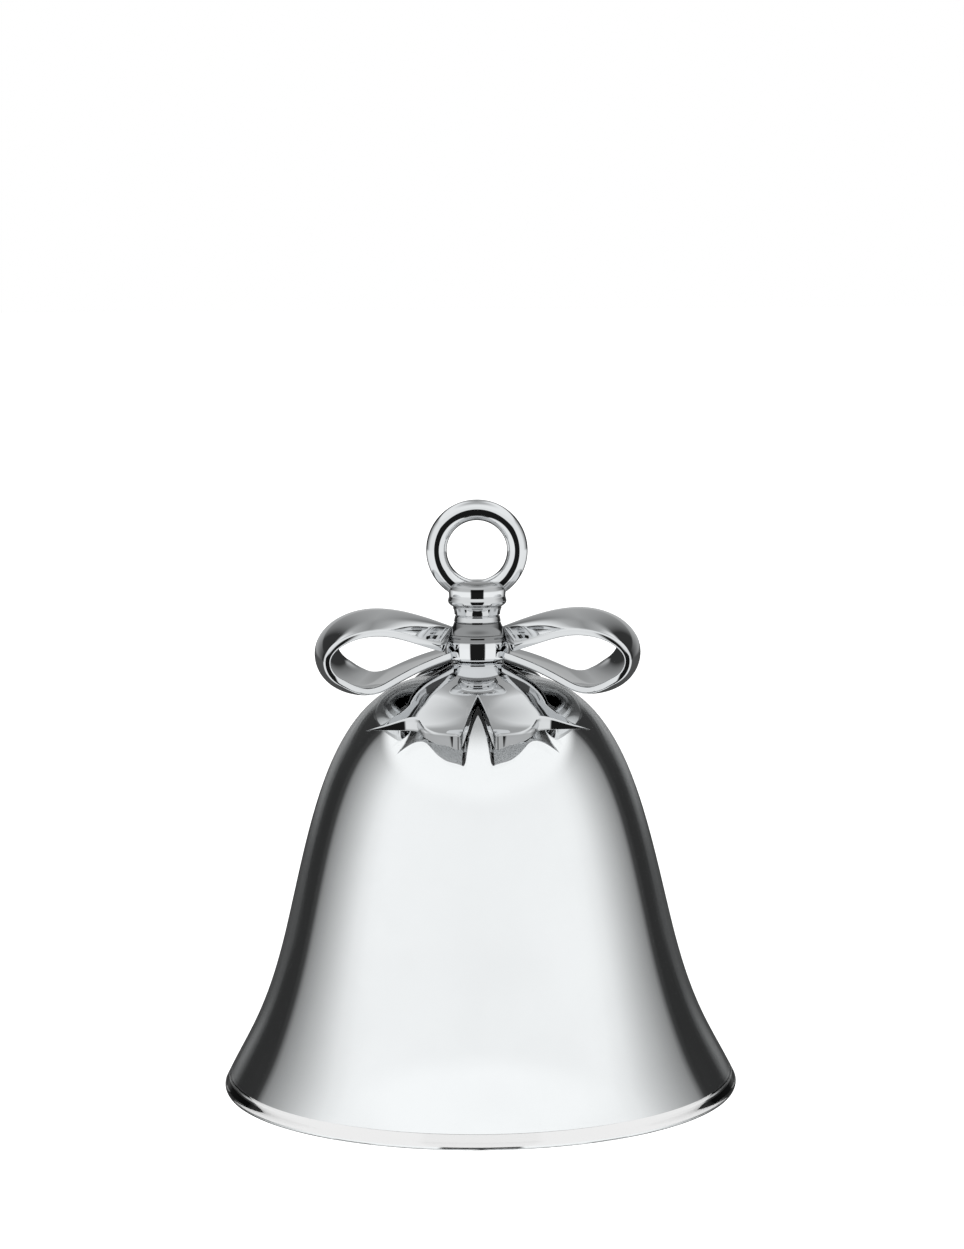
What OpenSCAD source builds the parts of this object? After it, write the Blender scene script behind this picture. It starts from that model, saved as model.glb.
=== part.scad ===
// Hanging bell ornament: a silvered clear bell under a cast ribbon bow, a turned neck and
// a hanging ring, with a clapper that swings from a swivel inside.
// The origin is the centre of the circle that the rim rests on. +Z is up and -Y is the front.

/* [Bell] */
// Outer diameter of the bell at its rim
rim_d = 86.4; // [72:0.2:104]
// Height of the bell from its rim to the top of its crown
bell_h = 70.3; // [62:0.01:85]
// Diameter of the waist, above the flare
waist_d = 65.2; // [58:0.2:70]
// Height of the waist above the rim
waist_h = 28; // [22:0.5:34]
// Outward lean of the wall at the rim, in mm for each mm of height
rim_lean = 0.49; // [0.3:0.005:0.6]
// Outward lean of the wall at the waist, in mm for each mm of height
waist_lean = 0.24; // [0.15:0.005:0.3]
// Radius of the flat land on the crown
crown_land_r = 5.6; // [5:0.1:8]
// Thickness of the clear wall
glass_t = 2; // [1.2:0.1:3]
// Thickness of the silvered lining
lining_t = 0.4; // [0.3:0.05:0.8]
// Height of the rounded rim, where the outer wall begins
lip_h = 1.8; // [1.2:0.1:2.4]
// Height at which the silvered lining starts
silver_edge_h = 2.6; // [2.2:0.1:6]

/* [Crown stack] */
// Radius of the threaded stud that holds everything together
stud_r = 1.5; // [1:0.1:2]
// Radial room round the stud in the hole in the crown
crown_hole_gap = 0.7; // [0.4:0.05:1.2]
// Thickness of the soft gasket on the crown
gasket_t = 0.8; // [0.5:0.1:1.5]
// Radius of the gasket on the crown
gasket_r = 4.9; // [4:0.1:5.5]
// Height of the cap boss under the knot
boss_h = 2.1; // [1.8:0.1:4]
// Radius of the cap boss
boss_r = 4.4; // [4:0.1:4.8]
// Thickness of the soft seal under the crown
seal_t = 0.8; // [0.5:0.1:1.5]
// Radius of the seal and of the washer under the crown
washer_r = 5; // [4:0.1:5.5]
// Thickness of the washer under the crown
washer_t = 0.6; // [0.4:0.1:1.2]
// Width of the nut across its flats
nut_af = 5.5; // [5:0.1:7]
// Height of the nut
nut_h = 2.4; // [1.8:0.1:4]

/* [Knot and neck] */
// Radius of the knot at its fullest
knot_r = 5.6; // [5.2:0.1:6.5]
// Radius of the knot at its lower edge
knot_low_r = 4.9; // [4.6:0.1:5.1]
// Radius of the knot at its upper edge
knot_top_r = 4.6; // [4.3:0.1:5.1]
// Height of the knot
knot_h = 4.3; // [3.6:0.1:6]
// Distance of the knot's side flats from its axis
knot_flat = 4.2; // [3.8:0.1:4.4]
// Height of the turned neck
neck_h = 6.5; // [5:0.1:9]
// Radius of the neck at its waist
neck_r = 3.8; // [3:0.1:4.2]
// Radius of the large bead under the ring
bead_r = 4.9; // [4.3:0.1:5.6]
// Depth of the fine turned grooves
groove_d = 0.25; // [0.1:0.05:0.5]

/* [Ring] */
// Radius of the ring's centre line
ring_r = 6.75; // [5.6:0.05:9]
// Radius of the ring's wire
wire_r = 1.75; // [1.4:0.05:2]
// Depth of the flat land worn inside the ring
eye_land = 0.04; // [0.02:0.01:0.1]
// Height of the ring's inside above the top of its foot
ring_lift = 0.25; // [0.1:0.05:0.6]
// Height of the ring's foot
foot_h = 2.2; // [1.8:0.1:2.4]
// Radius of the ring's foot
foot_r = 4.75; // [4.2:0.05:5.4]

/* [Bow] */
// Reach of each loop from the bell's axis
loop_reach = 27.3; // [23:0.1:33]
// Height of each loop over its crowned middle
loop_h = 14; // [12.5:0.1:16]
// Distance of the loops' lowest line from the bell's axis
loop_low_x = 19.4; // [17:0.1:21]
// Height of the loops' lowest line above the bell's shoulder below it
loop_rise = 3.2; // [2.6:0.1:4]
// Full width of the ribbon
ribbon_w = 28; // [20:0.5:34]
// Width of the ribbon where it enters the knot
root_w = 8.6; // [6:0.1:9]
// Thickness of the ribbon
ribbon_t = 1.2; // [0.9:0.05:1.5]
// Crown of the ribbon across its width, over the loops
ribbon_crown = 2.1; // [0.5:0.1:2.6]

/* [Tails] */
// Reach of the tails' points from the axis
tail_reach = 24.6; // [22:0.1:27]
// Reach of the swallow-tail notches
tail_notch = 21; // [20:0.1:21.5]
// Reach of the slit between the two tails
slit_reach = 15.7; // [12:0.1:18]
// Angle of the tails' outer edges from the front
tail_side = 47; // [40:1:50]
// Angle of the tails' inner edges from the front
tail_inner = 6.6; // [4:0.1:8]
// Angle of the swallow-tail notches from the front
notch_side = 28; // [24:1:30]
// Thickness of the tails over the crown
tail_t = 1.1; // [0.8:0.05:1.2]
// Thickness of the tails at their ends
tail_end_t = 2; // [1.2:0.1:2.2]
// Height of the tails' upper surface above the glass where they flare
tail_lift = 2; // [1.9:0.1:2.6]
// Radius at which the tails leave the bell's shoulder and flare outwards
tail_seat = 18; // [16:0.5:19]
// Drop of the tails' points below the place where they flare
tail_drop = 3.85; // [2.5:0.05:4.5]

/* [Clapper] */
// Radius of the ball
ball_r = 5.5; // [4:0.1:7]
// Height of the ball's centre above the rim
ball_z = 15; // [10:0.5:24]
// Radius of the clapper's rod
rod_r = 0.7; // [0.5:0.05:1]
// Radius of the two eyes' centre lines
eye_ring_r = 1.8; // [1.6:0.05:2.4]
// Radius of the two eyes' wire
eye_wire_r = 0.6; // [0.4:0.05:0.7]
// Gap between the swivel cup and the eye under it
swivel_drop = 0.2; // [0.1:0.05:0.6]
// Radius of the swivel cup
cup_r = 2.7; // [2.5:0.1:3.5]
// Height of the swivel cup
cup_h = 4.2; // [3.9:0.1:6]
// Radius of the swivel's head
head_r = 1.5; // [1.3:0.05:1.7]
// Radius of the swivel's shank
shank_r = 0.8; // [0.6:0.05:1]

/* [Fits] */
// Radial clearance of a thread or a fixed pin in its hole
thread_gap = 0.05; // [0.03:0.01:0.1]
// Radial clearance of the turning shank in its hole
running_gap = 0.05; // [0.03:0.01:0.1]
// Play between the two linked eyes
link_gap = 0.05; // [0.03:0.01:0.2]
// Gap between the knot and the roots of the tails
seam_gap = 0.05; // [0.03:0.01:0.1]

/* [Hidden] */
$fn = 72;

// Steps along each of the bell's two wall curves
wall_steps = 20;
// Steps along and across each loop's ribbon
loop_steps = 48;
loop_cross = 10;
// Steps down each tail
tail_steps = 16;

// Heights of the stack above the crown
boss_z = bell_h + gasket_t;
knot_z = boss_z + boss_h;
neck_z = knot_z + knot_h;
foot_z = neck_z + neck_h;
ring_z = foot_z + foot_h + ring_lift + ring_r - wire_r;
eye_r = ring_r - wire_r + eye_land;

// Heights of the stack under the crown
crown_under = bell_h - glass_t - lining_t;
crown_hole_r = stud_r + crown_hole_gap;
washer_z = crown_under - seal_t - washer_t;
nut_z = washer_z - nut_h;
cup_z = nut_z - cup_h;
// The cup's floor, and the room over it in which the swivel's head turns
cup_floor = 0.9;
cup_room = 1.5;
head_gap = 0.3;
thread_in_cup = cup_h - cup_floor - cup_room;

// The swivel's eye hangs in the XZ plane and the clapper's eye in the YZ plane
swivel_eye_z = cup_z - swivel_drop - eye_ring_r - eye_wire_r;
pivot_z = swivel_eye_z - eye_ring_r + 2 * eye_wire_r + link_gap;
clapper_eye_z = pivot_z - eye_ring_r;

// Colours
chrome = [0.80, 0.81, 0.83];
clear = [0.90, 0.94, 0.96, 0.35];
silver = [0.86, 0.87, 0.89];
rubber = [0.16, 0.16, 0.17];
steel = [0.66, 0.67, 0.69];
brass = [0.78, 0.64, 0.34];

// ---- curves ----

// Point and direction on a cubic curve through p[0] and p[3]
function bez(p, t) = pow(1 - t, 3) * p[0] + 3 * pow(1 - t, 2) * t * p[1]
                     + 3 * (1 - t) * t * t * p[2] + pow(t, 3) * p[3];
function bez_dir(p, t) = pow(1 - t, 2) * (p[1] - p[0]) + 2 * (1 - t) * t * (p[2] - p[1])
                         + t * t * (p[3] - p[2]);
function unit(v) = v / norm(v);
// Right-hand side of a direction in its own plane
function side(v) = unit([v.y, -v.x]);
function mix(a, b, t) = a + (b - a) * t;
function arc(c, r, a0, a1, n) = [for (i = [0:n]) let (a = mix(a0, a1, i / n))
                                 c + r * [cos(a), sin(a)]];

// ---- bell ----

rim_point = [rim_d / 2, lip_h];
waist_point = [waist_d / 2, waist_h];
crown_point = [crown_land_r, bell_h];
// How far each end of a curve pulls on it, as a share of the curve's height or width
rim_pull = 0.29;
waist_pull = 0.57;
shoulder_pull = 0.47;
crown_pull = 0.7;
flare_curve = [rim_point,
               rim_point + rim_pull * (waist_h - lip_h) * [-rim_lean, 1],
               waist_point - waist_pull * (waist_h - lip_h) * [-waist_lean, 1],
               waist_point];
shoulder_curve = [waist_point,
                  waist_point + shoulder_pull * (bell_h - waist_h) * [-waist_lean, 1],
                  crown_point + [crown_pull * (waist_d / 2 - crown_land_r), 0],
                  crown_point];

// Point number i of the wall, from the rim to the crown, moved inwards by d
function wall_curve(i) = i < wall_steps ? flare_curve : shoulder_curve;
function wall_t(i) = (i < wall_steps ? i : i - wall_steps) / wall_steps;
function wall_point(i, d) = bez(wall_curve(i), wall_t(i))
                            - d * side(bez_dir(wall_curve(i), wall_t(i)));
wall_end = 2 * wall_steps;
function wall(d, first) = [for (i = [first:wall_end]) wall_point(i, d)];
// Share of the shoulder at which its radius is r, by halving
function shoulder_share(r, lo = 0, hi = 1, n = 16) =
    let (mid = (lo + hi) / 2)
    n == 0 ? mid : bez(shoulder_curve, mid).x > r ? shoulder_share(r, mid, hi, n - 1)
                                                  : shoulder_share(r, lo, mid, n - 1);
function backwards(list) = [for (i = [len(list) - 1:-1:0]) list[i]];

// First point of the wall that the lining covers
lining_first = min([for (i = [0:wall_end]) if (wall_point(i, glass_t).y > silver_edge_h) i]);

// The rim is one round from the outer wall to the flat that it stands on
lip_normal = side(bez_dir(flare_curve, 0));
lip_r = lip_h / (1 + lip_normal.y);
lip_centre = rim_point - lip_r * lip_normal;
lip_angle = atan2(lip_normal.y, lip_normal.x);
inner_lip_x = wall_point(lining_first, glass_t).x;
inner_lip_r = 0.6;

module clear_bell() {
    color(clear)
        rotate_extrude()
            polygon(concat(
                arc([inner_lip_x + inner_lip_r, inner_lip_r], inner_lip_r, 180, 270, 5),
                arc(lip_centre, lip_r, -90, lip_angle, 10),
                wall(0, 1),
                [[crown_hole_r, bell_h], [crown_hole_r, bell_h - glass_t]],
                backwards(wall(glass_t, lining_first))));
}

module mirror_lining() {
    color(silver)
        rotate_extrude()
            polygon(concat(
                wall(glass_t, lining_first),
                [[crown_hole_r, bell_h - glass_t], [crown_hole_r, crown_under]],
                backwards(wall(glass_t + lining_t, lining_first))));
}

// ---- crown stack ----

module disc_ring(outer, inner, height) {
    difference() {
        cylinder(r = outer, h = height);
        translate([0, 0, -1])
            cylinder(r = inner, h = height + 2);
    }
}

module crown_gasket() {
    color(rubber)
        translate([0, 0, bell_h])
            disc_ring(gasket_r, stud_r + thread_gap, gasket_t);
}

// The boss has a flat at the front and at the back, where the tails are fixed
tail_root = 3;
module cap_boss() {
    color(chrome)
        translate([0, 0, boss_z])
            intersection() {
                disc_ring(boss_r, stud_r + thread_gap, boss_h);
                translate([-boss_r - 1, -tail_root, -1])
                    cube([2 * boss_r + 2, 2 * tail_root, boss_h + 2]);
            }
}

module inner_seal() {
    color(rubber)
        translate([0, 0, crown_under - seal_t])
            disc_ring(washer_r, stud_r + thread_gap, seal_t);
}

module inner_washer() {
    color(steel)
        translate([0, 0, washer_z])
            disc_ring(washer_r, stud_r + thread_gap, washer_t);
}

module crown_nut() {
    color(brass)
        translate([0, 0, nut_z])
            difference() {
                cylinder(r = nut_af / sqrt(3), h = nut_h, $fn = 6);
                translate([0, 0, -1])
                    cylinder(r = stud_r + thread_gap, h = nut_h + 2);
            }
}

// The stud runs from just inside the swivel cup's thread up into the ring's foot, which
// covers its end
stud_end_gap = 0.1;
stud_cover = 0.7;
stud_low = nut_z - thread_in_cup + stud_end_gap;
stud_top = foot_z + foot_h - stud_cover;
module centre_stud() {
    color(steel)
        translate([0, 0, stud_low])
            cylinder(r = stud_r, h = stud_top - stud_low);
}

// ---- knot, neck and ring ----

// The knot's belly is two curves that meet at its fullest radius, a little under half way up.
// Their inner points sit just outside the two edges, so that the belly stays round.
module ribbon_knot() {
    mid = [knot_r, knot_h * 0.48];
    low = [[knot_low_r, 0], [knot_low_r + 0.35, 0.6], [knot_r, 1.2], mid];
    top = [mid, [knot_r, knot_h * 0.75], [knot_top_r + 0.5, knot_h - 0.35], [knot_top_r, knot_h]];
    outline = concat([[0, 0]], [for (t = [0:0.2:0.9]) bez(low, t)],
                     [for (t = [0:0.2:1]) bez(top, t)], [[0, knot_h]]);
    color(chrome)
        translate([0, 0, knot_z])
            difference() {
                intersection() {
                    rotate_extrude()
                        polygon(outline);
                    translate([-knot_flat, -knot_r - 1, -1])
                        cube([2 * knot_flat, 2 * knot_r + 2, knot_h + 2]);
                }
                translate([0, 0, -1])
                    cylinder(r = stud_r + thread_gap, h = knot_h + 2);
            }
}

// Heights in the neck are shares of its height, from the knot up to the ring's foot: a flare,
// a groove, the waist, a groove, a swelling, a groove, the bead and a cove
bead_round = 0.62;
module neck_collar() {
    flare = [[knot_top_r, 0], [neck_r + 0.35, 0.08 * neck_h],
             [neck_r + 0.1, 0.16 * neck_h], [neck_r + 0.15, 0.26 * neck_h]];
    bead = [bead_r - bead_round, 0.83 * neck_h];
    outline = concat(
        [[0, 0]],
        [for (t = [0:0.25:1]) bez(flare, t)],
        [[neck_r - groove_d, 0.29 * neck_h], [neck_r + 0.1, 0.32 * neck_h],
         [neck_r, 0.44 * neck_h], [neck_r - groove_d, 0.47 * neck_h],
         [neck_r, 0.50 * neck_h], [neck_r + 0.15, 0.63 * neck_h],
         [neck_r + 0.15 - groove_d, 0.66 * neck_h]],
        arc(bead, bead_round, -65, 50, 8),
        [[foot_r - 0.1, 0.96 * neck_h], [foot_r, neck_h], [0, neck_h]]);
    color(chrome)
        translate([0, 0, neck_z])
            difference() {
                rotate_extrude()
                    polygon(outline);
                translate([0, 0, -1])
                    cylinder(r = stud_r + thread_gap, h = neck_h + 2);
            }
}

// The ring's wire is round but for a narrow flat land inside the eye
module hanging_ring() {
    foot = [[foot_r, 0], [foot_r + 0.1, 0.5 * foot_h], [foot_r - 0.4, 0.85 * foot_h],
            [0.62 * foot_r, foot_h]];
    color(chrome)
        difference() {
            union() {
                translate([0, 0, ring_z])
                    rotate([90, 0, 0])
                        rotate_extrude()
                            intersection() {
                                translate([ring_r, 0])
                                    circle(r = wire_r);
                                translate([eye_r, -wire_r])
                                    square([2 * wire_r, 2 * wire_r]);
                            }
                translate([0, 0, foot_z])
                    rotate_extrude()
                        polygon(concat([[0, 0]], [for (t = [0:0.125:1]) bez(foot, t)],
                                       [[0, foot_h]]));
            }
            translate([0, 0, foot_z - 1])
                cylinder(r = stud_r + thread_gap, h = stud_top - foot_z + 1 + thread_gap);
            translate([-foot_r, -foot_r, foot_z - foot_h])
                cube([2 * foot_r, 2 * foot_r, foot_h]);
        }
}

// ---- sheets ----

// Closed solid between two grids of points, outer and inner, with the same rows and columns
module sheet_solid(outer, inner) {
    rows = len(outer);
    cols = len(outer[0]);
    size = rows * cols;
    points = [for (grid = [outer, inner]) for (row = grid) for (p = row) p];
    function at(layer, r, c) = layer * size + r * cols + c;
    function quad(a, b, c, d) = [[a, b, c], [a, c, d]];
    faces = concat(
        [for (r = [0:rows - 2]) for (c = [0:cols - 2])
            each quad(at(0, r, c), at(0, r, c + 1), at(0, r + 1, c + 1), at(0, r + 1, c))],
        [for (r = [0:rows - 2]) for (c = [0:cols - 2])
            each quad(at(1, r, c), at(1, r + 1, c), at(1, r + 1, c + 1), at(1, r, c + 1))],
        [for (c = [0:cols - 2]) for (r = [0, rows - 1])
            each r == 0 ? quad(at(0, r, c), at(1, r, c), at(1, r, c + 1), at(0, r, c + 1))
                        : quad(at(0, r, c), at(0, r, c + 1), at(1, r, c + 1), at(1, r, c))],
        [for (r = [0:rows - 2]) for (c = [0, cols - 1])
            each c == 0 ? quad(at(0, r, c), at(0, r + 1, c), at(1, r + 1, c), at(1, r, c))
                        : quad(at(0, r, c), at(1, r, c), at(1, r + 1, c), at(0, r + 1, c))]);
    polyhedron(points, faces);
}

// ---- bow loops ----

// Crest line of the right-hand loop in the XZ plane, from the top of the knot's flat round
// to its foot: four curves between the root, the top, the far end and the lowest point
top_x = 0.62 * loop_reach;
low_x = loop_low_x;
loop_low = bez(shoulder_curve, shoulder_share(low_x)).y + loop_rise;
loop_top = loop_low + loop_h;
loop_mid = loop_low + 0.49 * loop_h;
// The ribbon's roots stand this far over the knot's top and over its lower edge
top_root_lift = 1.1;
low_root_lift = 0.15;
top_root = [knot_flat, knot_z + knot_h + top_root_lift];
low_root = [knot_flat, knot_z + low_root_lift];
// How far the roots and the lowest line pull on the crest line beside them
top_root_pull = [4.4, 1.6];
low_root_pull = [8.8, -2.4];
low_pull = 3.8;
crest_curves = [
    [top_root, top_root + top_root_pull, [0.46 * loop_reach, loop_top], [top_x, loop_top]],
    [[top_x, loop_top], [mix(top_x, loop_reach, 0.55), loop_top],
     [loop_reach, mix(loop_mid, loop_top, 0.55)], [loop_reach, loop_mid]],
    [[loop_reach, loop_mid], [loop_reach, mix(loop_mid, loop_low, 0.55)],
     [mix(low_x, loop_reach, 0.55), loop_low], [low_x, loop_low]],
    [[low_x, loop_low], [low_x - low_pull, loop_low], low_root + low_root_pull, low_root]];

// u runs from 0 at the upper root to 1 at the lower root
function crest_part(u) = min(3, floor(4 * u));
function crest(u) = bez(crest_curves[crest_part(u)], 4 * u - crest_part(u));
function crest_dir(u) = unit(bez_dir(crest_curves[crest_part(u)], 4 * u - crest_part(u)));
function half_width(u) = (root_w + (ribbon_w - root_w) * pow(sin(180 * u), 0.75)) / 2;
// The ribbon is this much crowned at its upper and at its lower root
top_root_crown = 3;
low_root_crown = 0.3;
// Shares of the ribbon's length between which its crown flattens towards the lower root
flat_from = 0.66;
flat_to = 0.86;
function ease(t) = t * t * (3 - 2 * t);
// The ribbon is more crowned where the upper root is pinched, and flatter at the lower root
function crown_at(u) =
    u < 0.25 ? mix(top_root_crown, ribbon_crown, ease(4 * u))
             : mix(ribbon_crown, low_root_crown,
                   ease(max(0, min(1, (u - flat_from) / (flat_to - flat_from)))));
// Depth d below the crest surface, at share v of the half width
function ribbon_point(u, v, d) =
    let (p = crest(u) + (d + crown_at(u) * v * v) * side(crest_dir(u)))
    [max(p.x, knot_flat), v * half_width(u), p.y];
function ribbon_grid(d) = [for (i = [0:loop_steps]) [for (j = [0:loop_cross])
                           ribbon_point(i / loop_steps, 2 * j / loop_cross - 1, d)]];

module bow_loop_right() {
    color(chrome)
        sheet_solid(ribbon_grid(0), ribbon_grid(ribbon_t));
}

module bow_loop_left() {
    color(chrome)
        mirror([1, 0, 0])
            sheet_solid(ribbon_grid(0), ribbon_grid(ribbon_t));
}

// ---- tails ----

// Upper surface of the tails in a radial plane: a dome that follows the glass, from the seam
// under the knot to the seat on the shoulder, then an outward flare
function glass_z(r) = r < crown_land_r ? bell_h : bez(shoulder_curve, shoulder_share(r)).y;
root_height = knot_z - seam_gap - bell_h;
function dome_z(r) = glass_z(r)
                     + mix(root_height, tail_lift, ease((r - tail_root) / (tail_seat - tail_root)));
seat = [tail_seat, dome_z(tail_seat)];
tail_tip = [tail_reach, seat.y - tail_drop];
flare_out = [seat, seat + [1.7, -1.25], tail_tip + [-2.4, 0.9], tail_tip];
// Share of the flare at which it reaches radius r, by halving
function flare_share(r, lo = 0, hi = 1, n = 16) =
    n == 0 ? (lo + hi) / 2
           : bez(flare_out, (lo + hi) / 2).x < r ? flare_share(r, (lo + hi) / 2, hi, n - 1)
                                                 : flare_share(r, lo, (lo + hi) / 2, n - 1);
function tail_z(r) = r < tail_seat ? dome_z(r) : bez(flare_out, flare_share(r)).y;
// Direction square to the upper surface at radius r, into the metal
function tail_in(r) = side([2 * tail_probe, tail_z(r + tail_probe) - tail_z(r - tail_probe)]);
tail_probe = 0.05;
// Radius at which the tails end, at angle a from the front
function slit_edge(a) = mix(slit_reach, tail_reach, pow(a / tail_inner, 0.8));
function inner_edge(a) = mix(tail_reach, tail_notch,
                             pow((a - tail_inner) / (notch_side - tail_inner), 2.2));
function horn_edge(a) = mix(tail_notch, tail_reach + 0.3,
                            pow((a - notch_side) / (tail_side - notch_side), 1.6));
function tail_end(a) = a < tail_inner ? slit_edge(a)
                     : a < notch_side ? inner_edge(a) : horn_edge(a);
// Thickness at angle a, radius r and share s of the way down: the ends are thicker, and the
// horns taper to their points
horn_taper = 0.7;
function tail_depth(a, r, s) =
    mix(tail_t, tail_end_t, ease(max(0, min(1, (r - tail_seat) / (tail_reach - tail_seat)))))
    * (1 - horn_taper * s * max(0, (a - notch_side) / (tail_side - notch_side)));
// Point of the tails at angle a and share s of the way down: on the upper surface for k = 0
// and on the lower one for k = 1. The first row lies in the plane of the boss's flat.
function tail_point(a, s, k) =
    let (start = tail_root / cos(a),
         r = mix(start, tail_end(abs(a)), s),
         d = k * tail_depth(abs(a), r, s),
         q = min(r, tail_reach - tail_probe),
         p = [r, tail_z(q)] + d * tail_in(q) * min(1, 4 * s) + [0, -d * (1 - min(1, 4 * s))])
    [p.x * sin(a), -p.x * cos(a), p.y];
half_angles = concat([for (i = [1:3]) tail_inner * i / 3],
                     [for (i = [1:4]) mix(tail_inner, notch_side, i / 4)],
                     [for (i = [1:6]) mix(notch_side, tail_side, i / 6)]);
tail_angles = concat(backwards(-half_angles), [0], half_angles);
function tail_grid(k) = [for (i = [0:tail_steps]) [for (a = tail_angles)
                         tail_point(a, i / tail_steps, k)]];

module front_tails() {
    color(chrome)
        sheet_solid(tail_grid(0), tail_grid(1));
}

module back_tails() {
    color(chrome)
        rotate([0, 0, 180])
            sheet_solid(tail_grid(0), tail_grid(1));
}

// ---- swivel and clapper ----

module swivel_cup() {
    color(brass)
        translate([0, 0, cup_z])
            difference() {
                cylinder(r = cup_r, h = cup_h);
                translate([0, 0, -1])
                    cylinder(r = shank_r + running_gap, h = cup_floor + 2);
                translate([0, 0, cup_floor])
                    cylinder(r = head_r + head_gap, h = cup_room);
                translate([0, 0, cup_floor + cup_room - 0.5])
                    cylinder(r = stud_r + thread_gap, h = thread_in_cup + 1.5);
            }
}

module wire_eye() {
    rotate_extrude()
        translate([eye_ring_r, 0])
            circle(r = eye_wire_r, $fn = 36);
}

head_z = cup_z + cup_floor + running_gap;
head_h = 0.9;
module swivel_eye() {
    color(steel)
        union() {
            translate([0, 0, swivel_eye_z])
                rotate([90, 0, 0])
                    wire_eye();
            translate([0, 0, swivel_eye_z + eye_ring_r])
                cylinder(r = shank_r, h = head_z - swivel_eye_z - eye_ring_r + 0.1);
            translate([0, 0, head_z])
                cylinder(r = head_r, h = head_h);
        }
}

// The ball is held between a shoulder and a peened end
shoulder_r = 1.3;
shoulder_h = 0.8;
module clapper_rod() {
    rod_low = ball_z - ball_r - thread_gap - shoulder_h;
    color(steel)
        union() {
            translate([0, 0, clapper_eye_z])
                rotate([0, 90, 0])
                    wire_eye();
            translate([0, 0, rod_low])
                cylinder(r = rod_r, h = clapper_eye_z - eye_ring_r - rod_low);
            translate([0, 0, rod_low])
                cylinder(r = shoulder_r, h = shoulder_h);
            translate([0, 0, ball_z + ball_r + thread_gap])
                cylinder(r = shoulder_r, h = shoulder_h);
        }
}

module clapper_ball() {
    color(chrome)
        translate([0, 0, ball_z])
            difference() {
                sphere(r = ball_r);
                translate([0, 0, -ball_r - 1])
                    cylinder(r = rod_r + thread_gap, h = 2 * ball_r + 2);
            }
}

hanging_ring();
neck_collar();
ribbon_knot();
bow_loop_left();
bow_loop_right();
front_tails();
back_tails();
cap_boss();
crown_gasket();
clear_bell();
mirror_lining();
inner_seal();
inner_washer();
crown_nut();
centre_stud();
swivel_cup();
swivel_eye();
clapper_rod();
clapper_ball();
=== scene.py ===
"""Hanging bell ornament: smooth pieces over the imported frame, their finishes and a stage."""

import math

import bpy
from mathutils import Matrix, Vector


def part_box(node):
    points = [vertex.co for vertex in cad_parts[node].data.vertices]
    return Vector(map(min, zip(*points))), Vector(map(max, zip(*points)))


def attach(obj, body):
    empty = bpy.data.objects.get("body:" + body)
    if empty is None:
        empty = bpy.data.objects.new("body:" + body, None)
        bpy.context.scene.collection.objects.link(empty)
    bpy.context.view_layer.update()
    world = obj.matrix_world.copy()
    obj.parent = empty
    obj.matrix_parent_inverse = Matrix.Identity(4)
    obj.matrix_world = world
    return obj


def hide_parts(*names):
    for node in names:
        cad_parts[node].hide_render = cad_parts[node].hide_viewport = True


bl_info = {
    "name": "Bell Ornament",
    "version": (1, 0, 0),
    "blender": (4, 5, 0),
    "location": "View3D > Sidebar > Bell Ornament",
    "description": "Builds a hanging bell ornament with a ribbon bow, its finishes and a stage",
    "category": "Object",
}

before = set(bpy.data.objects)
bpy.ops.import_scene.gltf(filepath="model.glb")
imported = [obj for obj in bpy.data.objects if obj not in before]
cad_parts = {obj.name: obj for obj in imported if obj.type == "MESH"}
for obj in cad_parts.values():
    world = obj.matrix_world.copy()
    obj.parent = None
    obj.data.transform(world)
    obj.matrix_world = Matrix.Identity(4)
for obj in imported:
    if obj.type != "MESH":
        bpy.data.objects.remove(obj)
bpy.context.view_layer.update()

MM = 0.001
TURN_STEPS = 192


# ---- sizes and finishes that a user may change ----

def length(name, description, default, low=0.0001, high=0.2):
    return bpy.props.FloatProperty(name=name, description=description, default=default,
                                   min=low, max=high, subtype="DISTANCE", unit="LENGTH",
                                   precision=5)


def colour(name, description, default):
    return bpy.props.FloatVectorProperty(name=name, description=description, default=default,
                                         size=3, min=0.0, max=1.0, subtype="COLOR")


def share(name, description, default):
    return bpy.props.FloatProperty(name=name, description=description, default=default,
                                   min=0.0, max=1.0, subtype="FACTOR")


class BellSizes(bpy.types.PropertyGroup):
    """Sizes of the bell's two walls"""
    rim_radius: length("Rim radius", "Outer radius of the wall where the lip begins", 0.0432)
    height: length("Height", "Height of the bell's crown above its rim",
                   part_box("clear_bell")[1].z)
    waist_radius: length("Waist radius", "Outer radius where the flare begins", 0.0326)
    waist_height: length("Waist height", "Height where the flare begins", 0.028)
    crown_land: length("Crown land", "Radius of the flat land on the crown", 0.0056)
    glass: length("Glass", "Thickness of the clear wall", 0.002)
    lining: length("Lining", "Thickness of the silvered lining", 0.0004)
    lip_height: length("Lip height", "Height of the rounded rim", 0.0018)
    lining_low: length("Lining's edge", "Height at which the silvered lining starts", 0.0018)
    hole_radius: length("Crown hole", "Radius of the hole in the crown", 0.0022)


class BowSizes(bpy.types.PropertyGroup):
    """Sizes of the cast ribbon"""
    reach: length("Loop reach", "Reach of each loop from the bell's axis",
                  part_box("bow_loop_right")[1].x)
    ribbon_width: length("Ribbon width", "Full width of the ribbon", 0.028)
    root_width: length("Root width", "Width of the ribbon where it enters the knot", 0.0086)
    ribbon: length("Ribbon thickness", "Thickness of the ribbon", 0.0012)
    crown: length("Ribbon crown", "Crown of the ribbon across its width", 0.0021)
    tails: length("Tail thickness", "Thickness of the tails", 0.0011)


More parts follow.
